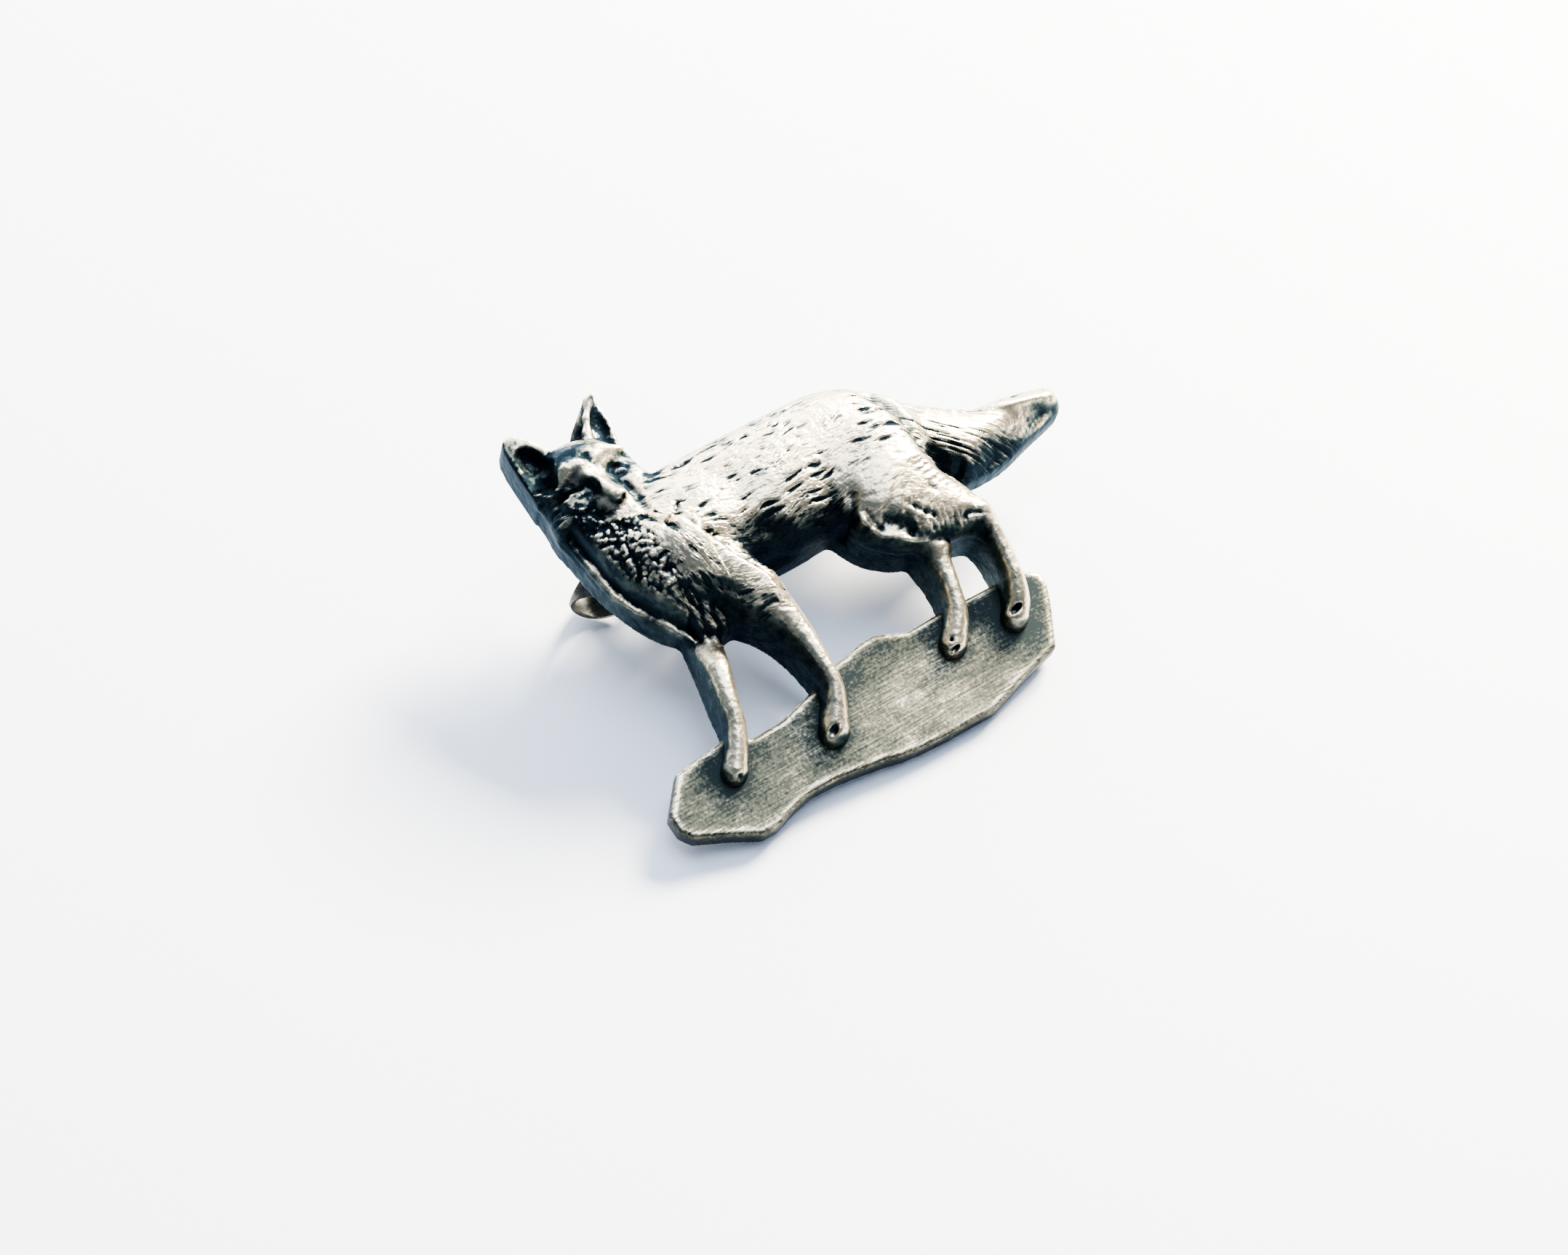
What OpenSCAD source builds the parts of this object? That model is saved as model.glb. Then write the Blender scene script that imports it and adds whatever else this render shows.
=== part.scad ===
// Cast figural brooch: a standing fox in deep relief on a flat plate of ground,
// with two tack posts on its flat back and a butterfly clutch on each.
// Brooch coordinates: u along the ground to the tail, v up the fox, w out of the flat back.
// The part lies on the lower back edge of the ground plate and on the clutches' wings.

/* [Ground plate] */
// Thickness of the plate under the fox's feet
plate_t = 1.5; // [1:0.1:2.5]
// Width of the filed bevel along the plate's front edge
plate_bevel = 0.25; // [0:0.05:0.5]

/* [Fox] */
// Length from the plate's left end to the tip of the tail
fox_l = 42.4; // [36:0.1:50]
// Height from the plate's lower edge to the ears' tips
fox_h = 33.7; // [28:0.1:40]
// Depth of the relief, from the flat back to the nose
fox_d = 6.7; // [5:0.1:8]
// Depth of the hollow in each ear
ear_hollow = 1.3; // [0.5:0.1:2]
// Radius of each eye socket
eye_r = 0.8; // [0.5:0.05:1.1]

/* [Posts] */
// Distance of the left post from the plate's left end
post_left_u = 10.6; // [9:0.1:13]
// Distance of the right post from the plate's left end
post_right_u = 25.5; // [22:0.1:28]
// Height of both posts up the fox
post_v = 22.9; // [20:0.1:24]
// Diameter of the post
post_d = 1.1; // [0.8:0.05:1.3]
// Length of the post behind its pad
post_l = 5; // [4:0.5:8]
// Diameter of the post's pad
pad_d = 4; // [3:0.5:6]
// Thickness of the post's pad
pad_t = 0.5; // [0.3:0.1:1]
// Length of the post's ground point
point_l = 0.5; // [0.3:0.1:1]
// Radius of the point's blunt end
point_r = 0.15; // [0.1:0.05:0.3]

/* [Clutches] */
// Diameter of the clutch's base
clutch_d = 9; // [8:0.1:11]
// Height of the clutch over its wings
clutch_h = 5.9; // [5:0.1:6.5]
// Span over both wings
wing_span = 11.8; // [10:0.1:13]
// Width of a wing at the middle
wing_w = 4; // [3:0.1:5]
// Radius of the loop at the end of a wing
wing_r = 2; // [1.5:0.1:2.4]
// Diameter of the hub round the post
hub_d = 3.4; // [2.6:0.1:4]
// Height of the hub
hub_h = 1.9; // [1.2:0.1:2.5]
// Distance of a wing's foot from the post's axis
foot_u = 0.9; // [0.7:0.1:1.2]
// Height of the base's turned-up rim
rim_h = 0.9; // [0.6:0.1:1.4]
// Rounding of the base's lower edge
rim_r = 0.3; // [0.2:0.05:0.4]
// Sheet thickness
sheet = 0.4; // [0.3:0.05:0.6]
// Turn of each clutch on its post, in degrees
clutch_turn = 4; // [-20:1:20]

/* [Hidden] */
pad_gap = 0.03;                   // between the casting's back and a post's pad
seat_gap = 0.15;                  // between the pad and the clutch's base
bore_gap = 0.07;                  // between the post and the clutch's hole
over = 1;                         // how far a cut runs past what it cuts
seat = pad_t + seat_gap;          // from the back to the clutch's base
bore_r = post_d / 2 + bore_gap;   // the clutch's hole round the post
// the wing's outline is the lens where two arcs of this radius meet
lens_r = (pow(wing_span / 2, 2) + pow(wing_w / 2, 2)) / wing_w;
lobe_u = wing_span / 2 - wing_r;  // from the post to the middle of a wing's loop
lobe_w = sqrt(pow(lens_r, 2) - pow(lobe_u, 2)) - lens_r + wing_w / 2;
// the wing's corner that meets the surface, and the tilt at which the brooch lies on it
touch_v = post_v - lobe_u * sin(clutch_turn) - lobe_w * cos(clutch_turn);
rest_tilt = atan((seat + clutch_h) / touch_v);

// Every table gives shares of the fox's sizes, in hundredths: places along u of fox_l, places
// along v and radii of fox_h, and heights over the flat back of fox_d.
function place(s) = [s[0] * fox_l / 100, s[1] * fox_h / 100];
function radius(s) = s[2] * fox_h / 100;
function height(share) = share * fox_d / 100;

// Outline of the ground plate: u, v, from the left end along the lower edge
ground_shares = [
  [0, 13.6], [0, 9.8], [1.4, 7.1], [6.6, 4.2], [11.6, 0.9], [14.4, 0.9], [18.9, 2.7],
  [22.9, 3.6], [27.8, 3.3], [35.8, 1.8], [38.7, 0.9], [42.9, 0.3], [47.6, 0], [57.1, 0],
  [64.2, 2.7], [72.4, 5.3], [75.9, 13.1], [77.8, 17.8], [78.1, 21.1], [75.2, 23.4],
  [67, 23.7], [58.5, 24], [51.9, 23.7], [46.9, 26.4], [44.1, 26.4], [38.2, 24.9],
  [31.1, 22], [24.8, 19.9], [19.1, 19.6], [16, 22.6], [5, 20.8]
];

// Each section of a limb or of the body stands on the flat back:
// u, v, radius, height of its upright wall, height of its crest
torso_shares = [
  [30.2, 62.6, 15.4, 45, 97],
  [42.9, 63.2, 14.8, 45, 100],
  [52.4, 63.5, 14.5, 45, 99],
  [59, 62.9, 14.5, 45, 97],
  [63, 60.2, 13.9, 45, 96]
];
thigh_shares = [
  [62.7, 58.2, 13.9, 48, 99],
  [61.3, 50.1, 13.6, 63, 101],
  [66.5, 42.4, 7.7, 60, 90],
  [71.9, 36.2, 3.3, 54, 78]
];
near_hind_leg_shares = [
  [71.9, 36.2, 3.3, 54, 78],
  [72.4, 31.5, 2.8, 51, 72],
  [72.2, 26.7, 2.5, 48, 66],
  [71.5, 21.4, 2.5, 45, 61],
  [70.3, 17.2, 2.8, 36, 54],
  [69.1, 14.8, 2.8, 27, 46]
];
far_hind_leg_shares = [
  [62.5, 37.4, 3.9, 42, 66],
  [61.8, 30.3, 2.8, 42, 60],
  [61.1, 25.5, 2.4, 42, 57],
  [59.7, 20.5, 2.5, 39, 52],
  [56.8, 16, 2.8, 27, 45]
];
near_foreleg_shares = [
  [30.2, 57, 11.3, 48, 101],
  [32.1, 46.9, 6.2, 51, 90],
  [33, 39.2, 4.5, 48, 75],
  [34, 32.6, 3.4, 48, 69],
  [34.3, 25.5, 2.5, 46, 64],
  [34, 19, 2.4, 42, 58],
  [30.9, 12.2, 3.1, 27, 48]
];
far_foreleg_shares = [
  [21.5, 42.4, 3.9, 45, 69],
  [19.1, 33.8, 3, 45, 63],
  [17.8, 27.9, 2.5, 45, 60],
  [16.7, 22.6, 2.2, 43, 55],
  [14.9, 18.1, 2.4, 36, 49],
  [13, 14.8, 2.5, 27, 45]
];
chest_shares = [
  [19.3, 74.8, 11.6, 42, 75],
  [21, 64.1, 12.2, 45, 88],
  [22.9, 55.2, 11.3, 46, 87],
  [24.3, 48.7, 8, 48, 75]
];
shoulder_shares = [
  [21, 64.1, 12.2, 45, 88],
  [30.2, 61.1, 13.6, 45, 99]
];
tail_shares = [
  [67.5, 58.5, 12.8, 30, 78],
  [81.6, 52.8, 7.7, 18, 63],
  [90.1, 53.4, 5.9, 15, 55],
  [96.9, 53.4, 3.9, 13, 45]
];
head_shares = [
  [19.2, 81.6, 11.4, 39, 73],
  [19.6, 76.3, 11.6, 42, 78]
];
muzzle_shares = [
  [19.1, 80.1, 5, 60, 84],
  [18.6, 74.2, 2.7, 78, 100]
];
// Each ear is a thin shell over three sections: outer foot, inner foot and tip
left_ear_shares = [
  [12.5, 89, 3.1, 27, 42],
  [16, 89.9, 2.8, 30, 48],
  [12, 98.1, 1.9, 30, 42]
];
right_ear_shares = [
  [26.4, 89, 2.7, 33, 48],
  [22.2, 90.2, 3, 33, 51],
  [27, 98.1, 1.9, 30, 42]
];
// The hollow in each ear, cut down from the front with the same three places
left_cup_shares = [[12.5, 89.9, 1.6], [14.9, 90.5, 1.3], [12.1, 96.4, 0.9]];
right_cup_shares = [[26.4, 90.5, 1.3], [25, 91.1, 1], [26.9, 96.4, 0.7]];
// Eye sockets: u, v, w of the middle
eye_shares = [[14.4, 81, 82], [23.8, 81.3, 82]];

// Height of the ears' rims, which their hollows are cut down from
ear_rim_share = 54;

// Middle of the brooch's box as it lies, so that the part stands on its own origin
middle_u = fox_l / 2;
middle_y = (fox_h * cos(rest_tilt) - plate_t * sin(rest_tilt)) / 2;

// Lays brooch coordinates down as the brooch rests
module lie() {
  translate([-middle_u, -middle_y, 0])
    rotate([rest_tilt, 0, 0])
      children();
}

// One section: an upright wall under a domed crest
module section(s, n) {
  r = radius(s);
  wall = height(s[3]);
  dome = height(s[4]) - wall;
  translate(place(s))
    rotate_extrude($fn = n)
      polygon(concat([[0, 0], [r, 0]],
                     [for (a = [0:18:90]) [r * cos(a), wall + dome * sin(a)]]));
}

// A limb: each section is joined to the next
module limb(rows, n = 20) {
  for (i = [0:len(rows) - 2])
    hull() {
      section(rows[i], n);
      section(rows[i + 1], n);
    }
}

module ear(rows, cup) {
  difference() {
    hull()
      for (s = rows) section(s, 16);
    hull()
      for (c = cup)
        translate(concat(place(c), height(ear_rim_share) - ear_hollow))
          cylinder(r = radius(c), h = ear_hollow + plate_t, $fn = 12);
  }
}

// The ground plate, with one small step in along its front edge
module plate() {
  outline = [for (g = ground_shares) place(g)];
  linear_extrude(height = plate_t - plate_bevel)
    polygon(outline);
  linear_extrude(height = plate_t)
    offset(delta = -plate_bevel)
      polygon(outline);
}

module fox() {
  difference() {
    union() {
      limb(torso_shares, 28);
      limb(thigh_shares, 24);
      limb(shoulder_shares, 28);
      limb(chest_shares, 24);
      limb(tail_shares, 24);
      limb(near_foreleg_shares);
      limb(far_foreleg_shares, 16);
      limb(near_hind_leg_shares, 16);
      limb(far_hind_leg_shares, 16);
      limb(head_shares, 28);
      limb(muzzle_shares, 16);
    }
    for (e = eye_shares)
      translate(concat(place(e), height(e[2])))
        sphere(r = eye_r, $fn = 16);
  }
  ear(left_ear_shares, left_cup_shares);
  ear(right_ear_shares, right_cup_shares);
}

module fox_and_ground() {
  color([0.66, 0.63, 0.56])
    lie() {
      fox();
      plate();
    }
}

// A round tack post on its pad, pointing out of the back
module post(u) {
  color([0.55, 0.53, 0.48])
    lie()
      translate([u, post_v, -pad_gap])
        mirror([0, 0, 1])
          rotate_extrude($fn = 48)
            polygon([[0, 0], [pad_d / 2, 0], [pad_d / 2, pad_t - pad_gap], [post_d / 2, pad_t - pad_gap],
                     [post_d / 2, pad_t + post_l - point_l], [point_r, pad_t + post_l],
                     [0, pad_t + post_l]]);
}

// One wing's loop, seen from its side: a ring of sheet with a foot to the hub
module wing_loop() {
  translate([lobe_u, clutch_h - wing_r])
    difference() {
      circle(r = wing_r, $fn = 48);
      circle(r = wing_r - sheet, $fn = 48);
    }
  inner = lobe_u - wing_r + sheet / 4;
  polygon([[foot_u, hub_h - 2 * sheet], [inner, clutch_h - wing_r - sheet / 4],
           [inner + sheet, clutch_h - wing_r - sheet], [foot_u + 1.5 * sheet, hub_h - 2 * sheet]]);
}

module clutch(u) {
  color([0.5, 0.47, 0.42])
    lie()
      translate([u, post_v, -seat])
        mirror([0, 0, 1])
          rotate([0, 0, clutch_turn]) {
            difference() {
              union() {
                rotate_extrude($fn = 64)
                  polygon([[0, 0], [clutch_d / 2 - rim_r, 0], [clutch_d / 2, rim_r],
                           [clutch_d / 2, rim_h], [clutch_d / 2 - sheet, rim_h],
                           [clutch_d / 2 - sheet, sheet], [0, sheet]]);
                cylinder(d = hub_d, h = hub_h, $fn = 48);
                intersection() {
                  for (side = [0, 180])
                    rotate([0, 0, side])
                      rotate([90, 0, 0])
                        translate([0, 0, -wing_w / 2])
                          linear_extrude(height = wing_w)
                            wing_loop();
                  translate([0, lens_r - wing_w / 2, -over])
                    cylinder(r = lens_r, h = clutch_h + 2 * over, $fn = 96);
                  translate([0, wing_w / 2 - lens_r, -over])
                    cylinder(r = lens_r, h = clutch_h + 2 * over, $fn = 96);
                }
              }
              translate([0, 0, -over])
                cylinder(r = bore_r, h = clutch_h + 2 * over, $fn = 48);
            }
          }
}

module left_post() { post(post_left_u); }
module right_post() { post(post_right_u); }
module left_clutch() { clutch(post_left_u); }
module right_clutch() { clutch(post_right_u); }

fox_and_ground();
left_post();
right_post();
left_clutch();
right_clutch();
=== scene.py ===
import math
import bpy
import bmesh
import numpy as np
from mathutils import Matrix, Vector


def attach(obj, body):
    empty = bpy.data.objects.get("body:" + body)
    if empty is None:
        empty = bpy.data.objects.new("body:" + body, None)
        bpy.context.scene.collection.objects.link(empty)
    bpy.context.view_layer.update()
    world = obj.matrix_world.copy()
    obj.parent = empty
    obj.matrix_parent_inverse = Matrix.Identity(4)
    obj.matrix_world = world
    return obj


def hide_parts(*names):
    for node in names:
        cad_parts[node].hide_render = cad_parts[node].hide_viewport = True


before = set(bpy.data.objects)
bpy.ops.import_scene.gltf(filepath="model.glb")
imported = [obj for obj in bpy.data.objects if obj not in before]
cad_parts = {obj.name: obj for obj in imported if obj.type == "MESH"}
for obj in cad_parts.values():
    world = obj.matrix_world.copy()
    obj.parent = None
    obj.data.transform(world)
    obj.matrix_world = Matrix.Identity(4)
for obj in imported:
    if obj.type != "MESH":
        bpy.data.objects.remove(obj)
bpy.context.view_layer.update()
print("frame loaded:", ", ".join(sorted(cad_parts)))

mm = 0.001


def node(tree, kind, inputs=(), **settings):
    # adds a node with its settings, its fixed inputs and its links, and gives its outputs
    made = tree.nodes.new(kind if "Node" in kind else "ShaderNode" + kind)
    for name, value in settings.items():
        setattr(made, name, value)
    for name, value in inputs.items() if isinstance(inputs, dict) else enumerate(inputs):
        if isinstance(value, bpy.types.NodeSocket):
            tree.links.new(value, made.inputs[name])
        else:
            made.inputs[name].default_value = value
    return made.outputs


def colour(code):
    # an sRGB hex colour as the linear numbers that a socket takes
    parts = [int(code[i:i + 2], 16) / 255 for i in (1, 3, 5)]
    return [c / 12.92 if c <= 0.04045 else ((c + 0.055) / 1.055) ** 2.4 for c in parts] + [1.0]


# how the brooch lies: u along the ground, v up the fox, w out of the flat back, all in mm
lie = {
    "tilt": 16.98,  # degrees: the plate's lower edge and the clutches' wings are on the surface
    "middleU": 23.0,
    "middleV": 15.896,
}
tiltCos = math.cos(math.radians(lie["tilt"]))
tiltSin = math.sin(math.radians(lie["tilt"]))


def toRow(uvw):
    # brooch millimetres to metres on the surface
    p = np.asarray(uvw, float)
    y = p[..., 1] * tiltCos - p[..., 2] * tiltSin - lie["middleV"]
    z = p[..., 1] * tiltSin + p[..., 2] * tiltCos
    return np.stack([p[..., 0] - lie["middleU"], y, z], -1) * mm


def toBrooch(row):
    # back from metres on the surface
    p = np.asarray(row, float) / mm
    y = p[..., 1] + lie["middleV"]
    return np.stack([p[..., 0] + lie["middleU"], y * tiltCos + p[..., 2] * tiltSin,
                     p[..., 2] * tiltCos - y * tiltSin], -1)


# camera, surface and light
studio = {
    "cameraAt": (-91.6, -125.8, 181.6),  # mm, 230 mm from the brooch, 50 degrees above the surface
    "cameraTurn": (40, 0, -35),  # degrees
    "lens": 76.8,
    # name, place, what it is aimed at, size (all mm), watts, colour
    "lamps": [("sunnyWindow", (370, 150, 250), (0, 0, 4), (190, 150), 32.0, "#FFF4E2"),
              ("paleWallBehind", (110, 430, 210), (0, 0, 6), (620, 320), 9.0, "#EEF3FF"),
              ("softAbove", (75, 25, 420), (0, 0, 0), (370, 290), 2.8, "#D4E0F8")],
    "roomDim": "#2A4560",  # at the camera's side
    "roomPale": "#A9C6E8",  # behind, above and to the right
    "roomPaleTowards": (0.42, 0.72, 0.55),
    "roomStrength": 1.4,
    "surface": "#F5F9FE",
    "surfaceReach": 2.0,  # m, each way
}

link = bpy.context.scene.collection.objects.link
cameraData = bpy.data.cameras.new("camera")
cameraData.lens = studio["lens"]
cameraData.clip_start = 0.01
camera = bpy.data.objects.new("camera", cameraData)
camera.location = Vector(studio["cameraAt"]) * mm
camera.rotation_euler = [math.radians(a) for a in studio["cameraTurn"]]
link(camera)
bpy.context.scene.camera = camera

for name, place, aim, size, power, tint in studio["lamps"]:
    data = bpy.data.lights.new(name, "AREA")
    data.shape = "RECTANGLE"
    data.size = size[0] * mm
    data.size_y = size[1] * mm
    data.energy = power
    data.color = colour(tint)[:3]
    lamp = bpy.data.objects.new(name, data)
    lamp.location = Vector(place) * mm
    lamp.rotation_euler = (Vector(aim) - Vector(place)).to_track_quat("-Z", "Y").to_euler()
    link(lamp)


# the room: pale behind and to the right, dim at the camera's side
world = bpy.data.worlds.new("room")
world.use_nodes = True
tree = world.node_tree
away = node(tree, "TexCoord")["Generated"]
along = node(tree, "VectorMath", (away, studio["roomPaleTowards"]), operation="DOT_PRODUCT")["Value"]
along = node(tree, "MapRange", (along, 0.05, 0.9), interpolation_type="SMOOTHSTEP")[0]
tones = node(tree, "Mix", {0: along, 6: colour(studio["roomDim"]), 7: colour(studio["roomPale"])},
             data_type="RGBA")
tree.links.new(tones[2], tree.nodes["Background"].inputs["Color"])
tree.nodes["Background"].inputs["Strength"].default_value = studio["roomStrength"]
bpy.context.scene.world = world


def meshPiece(name, verts, faces):
    data = bpy.data.meshes.new(name)
    data.from_pydata([tuple(v) for v in verts], [], [tuple(f) for f in faces])
    data.update()
    data.shade_smooth()
    piece = bpy.data.objects.new(name, data)
    link(piece)
    return piece


def startMaterial(name):
    made = bpy.data.materials.new(name)
    made.use_nodes = True
    tree = made.node_tree
    return made, tree, tree.nodes["Principled BSDF"]


# matt white card: rough and nearly without gloss
card, tree, shader = startMaterial("mattWhiteCard")
shader.inputs["Base Color"].default_value = colour(studio["surface"])
shader.inputs["Roughness"].default_value = 0.55
shader.inputs["Specular IOR Level"].default_value = 0.35

far = studio["surfaceReach"]
surface = meshPiece("surface", [(-far, -far, 0), (far, -far, 0), (far, far, 0), (-far, far, 0)],
                    [(0, 1, 2, 3)])
surface.data.materials.append(card)
print("camera, surface and light set")

# clay: a field of signed distances that a form is modelled in, all in mm
clayTop = 9  # above every form
frontFrom = 1.7  # only the relief above this height is carved or swollen


def startClay(low, high, step):
    global axes, field
    axes = [np.arange(a, b, step, dtype=np.float32) for a, b in zip(low, high)]
    field = np.full([len(a) for a in axes], 4.0, np.float32)
    return {"low": np.array(low), "step": step, "field": field}


def blockOf(low, high):
    # the slices of the field between two corners
    out = []
    for a, lo, hi in zip(axes, low, high):
        i = int(np.searchsorted(a, lo))
        out.append(slice(i, max(int(np.searchsorted(a, hi)), i + 1)))
    return tuple(out)


def blockAround(points, pad, bottom=-1):
    # the slices round points of the back's plane, with the block's u, v and w shaped for sums
    block = blockOf((points[:, 0].min() - pad, points[:, 1].min() - pad, bottom),
                    (points[:, 0].max() + pad, points[:, 1].max() + pad, clayTop))
    u, v, w = [a[part] for a, part in zip(axes, block)]
    return block, u[:, None], v[None, :], w


def offsetsFrom(block, centre):
    return np.ix_(*[a[part] - c for a, part, c in zip(axes, block, centre)])


def put(block, new, soft, hollow=False):
    # joins a form to what is there, or takes it away, with a soft edge between
    sign = -1 if hollow else 1
    old = sign * field[block]
    h = np.clip(0.5 + 0.5 * (old - new) / soft, 0, 1)
    field[block] = sign * (old + (new - old) * h - soft * h * (1 - h))


def smoothRows(rows, steps=6):
    # a smooth run of sections through the rows of a table
    r = np.array(rows, float)
    r = np.vstack([2 * r[0] - r[1], r, 2 * r[-1] - r[-2]])
    out = []
    for a, b, c, d in zip(r, r[1:], r[2:], r[3:]):
        for t in np.arange(steps) / steps:
            out.append(0.5 * (2 * b + (c - a) * t + (2 * a - 5 * b + 4 * c - d) * t * t
                              + (3 * b - a - 3 * c + d) * t ** 3))
    out.append(r[-2])
    return np.array(out)


def toSegment(a, b, u, v):
    # how far along a segment the nearest place is, and the distance to it
    e = b[:2] - a[:2]
    t = np.clip(((u - a[0]) * e[0] + (v - a[1]) * e[1]) / max(e @ e, 1e-6), 0, 1)
    return t, np.hypot(u - a[0] - t * e[0], v - a[1] - t * e[1])


def limb(rows, soft):
    # columns: u, v, radius, height of the upright wall, height of the crest
    s = smoothRows(rows)
    block, u, v, w = blockAround(s, s[:, 2].max() + 1.2)
    best = np.full((u.shape[0], v.shape[1]), 1e6)
    picked = np.zeros((4,) + best.shape)
    for a, b in zip(s[:-1], s[1:]):
        t, away = toSegment(a, b, u, v)
        mix = [a[k] + t * (b[k] - a[k]) for k in (2, 3, 4)]
        better = away / mix[0] < best
        best = np.where(better, away / mix[0], best)
        picked = np.where(better, [away] + mix, picked)
    away, r, wall, crest = [p[:, :, None].astype(np.float32) for p in picked]
    dome = np.maximum(crest - wall, 0.3)
    h = np.maximum(w - wall, 0)
    k0 = np.sqrt((away / r) ** 2 + (h / dome) ** 2)
    k1 = np.sqrt((away / r ** 2) ** 2 + (h / dome ** 2) ** 2) + 1e-4
    put(block, k0 * (k0 - 1) / k1, soft)


def ball(centre, radii, soft=0.3, hollow=False, turn=0):
    # an ellipsoid, turned in the plane of the back by so many degrees
    c = np.array(centre, float)
    r = np.array(radii, float)
    block = blockOf(c - r.max() - 1, c + r.max() + 1)
    du, dv, dw = offsetsFrom(block, c)
    ct, st = math.cos(math.radians(turn)), math.sin(math.radians(turn))
    p = [du * ct + dv * st, dv * ct - du * st, dw]
    k0 = np.sqrt(sum((p[k] / r[k]) ** 2 for k in range(3)))
    k1 = np.sqrt(sum((p[k] / r[k] ** 2) ** 2 for k in range(3))) + 1e-4
    put(block, (k0 * (k0 - 1) / k1).astype(np.float32), soft, hollow)


def rod(points, r0, r1, soft=0.3, hollow=False):
    # a tapered rod along a few points, added or cut as a groove
    pts = np.array(points, float)
    n = len(pts) - 1
    for i, (a, b) in enumerate(zip(pts, pts[1:])):
        ra, rb = r0 + (r1 - r0) * i / n, r0 + (r1 - r0) * (i + 1) / n
        block = blockOf(np.minimum(a, b) - max(ra, rb) - 1, np.maximum(a, b) + max(ra, rb) + 1)
        p = offsetsFrom(block, a)
        along = b - a
        t = np.clip(sum(p[k] * along[k] for k in range(3)) / (along @ along), 0, 1)
        d = np.sqrt(sum((p[k] - t * along[k]) ** 2 for k in range(3))) - (ra + (rb - ra) * t)
        put(block, d.astype(np.float32), soft, hollow)


def awayFrom(points, u, v):
    # distance in the plane of the back to a line through a few points, and how far along it is
    pts = np.array(points, float)
    d = np.full(np.broadcast(u, v).shape, 1e6)
    share = np.zeros(d.shape)
    n = len(pts) - 1
    for i, (a, b) in enumerate(zip(pts, pts[1:])):
        t, near = toSegment(a, b, u, v)
        share = np.where(near < d, (i + t) / n, share)
        d = np.minimum(d, near)
    return d, share


def insideOf(outline, u, v):
    # signed distance to a closed outline in the plane of the back, below 0 inside
    o = np.array(outline, float)
    d = awayFrom(np.vstack([o, o[:1]]), u, v)[0]
    inside = np.zeros(d.shape, bool)
    for a, b in zip(o, np.roll(o, -1, 0)):
        crosses = (a[1] > v) != (b[1] > v)
        at = a[0] + (v - a[1]) / (b[1] - a[1] if abs(b[1] - a[1]) > 1e-9 else 1e-9) * (b[0] - a[0])
        inside ^= crosses & (u < at)
    return np.where(inside, -d, d)


def carve(points, width, depth, above=frontFrom):
    # presses a line into the front of the relief, or raises it where depth is negative
    pts = np.array(points, float)
    block, u, v, w = blockAround(pts, 3 * width, above)
    d, share = awayFrom(pts, u, v)
    ends = np.clip(np.minimum(share, 1 - share) * 5 + 0.3, 0, 1)
    field[block] += (depth * ends * np.exp(-(d / width) ** 2))[:, :, None] * np.clip((w - above) * 2, 0, 1)


def swell(outline, rise, edge=0.4, above=frontFrom):
    # raises the front inside an outline, or lowers it where rise is negative
    o = np.array(outline, float)
    block, u, v, w = blockAround(o, 2, above)
    t = np.clip(0.5 - insideOf(o, u, v) / (2 * edge), 0, 1)
    field[block] -= (rise * t * t * (3 - 2 * t))[:, :, None] * np.clip((w - above) * 2, 0, 1)


def slab(outline, level, rounding=0.25, soft=0.3, hollow=False):
    # upright walls under a sloping top: its height at the first point and its rise along u and v
    o = np.array(outline, float)
    block, u, v, w = blockAround(o, 1)
    side = (insideOf(o, u, v) + rounding)[:, :, None]
    top = (level[0] + level[1] * (u - o[0, 0]) + level[2] * (v - o[0, 1]))[:, :, None]
    rise = (top - w if hollow else w - top) + rounding
    outside = np.hypot(np.maximum(side, 0), np.maximum(rise, 0))
    d = np.minimum(np.maximum(side, rise), 0) + outside - rounding
    put(block, d.astype(np.float32), soft, hollow)


def flatBack():
    np.maximum(field, -axes[2][None, None, :], out=field)


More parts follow.
